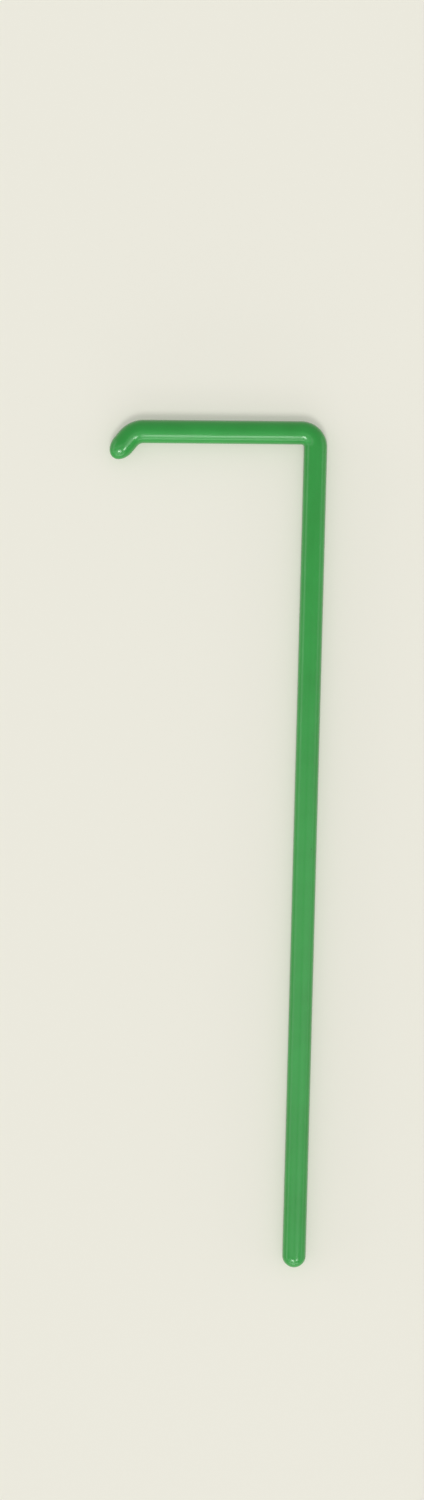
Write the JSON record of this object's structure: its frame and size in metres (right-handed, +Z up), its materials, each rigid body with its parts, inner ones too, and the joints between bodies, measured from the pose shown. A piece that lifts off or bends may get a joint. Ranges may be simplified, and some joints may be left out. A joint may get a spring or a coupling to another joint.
{
  "type": "cell spreader",
  "caption": "L-shaped round plastic rod with domed ends and a short turned-in tip, for spreading cells over an agar plate.",
  "frame": {"origin": "under the middle of the spreader's outline, on the surface that it lies on", "axes": "+Y along the handle from its free end to the corner, +X across from the blade's tip to the handle, +Z up out of the plane in which the rod is bent"},
  "size_m": [0.038, 0.148, 0.004],
  "materials": {
    "green_plastic": "gloss"
  },
  "bodies": {
    "root": {"cell_spreader": "green_plastic"}
  },
  "joints": []
}
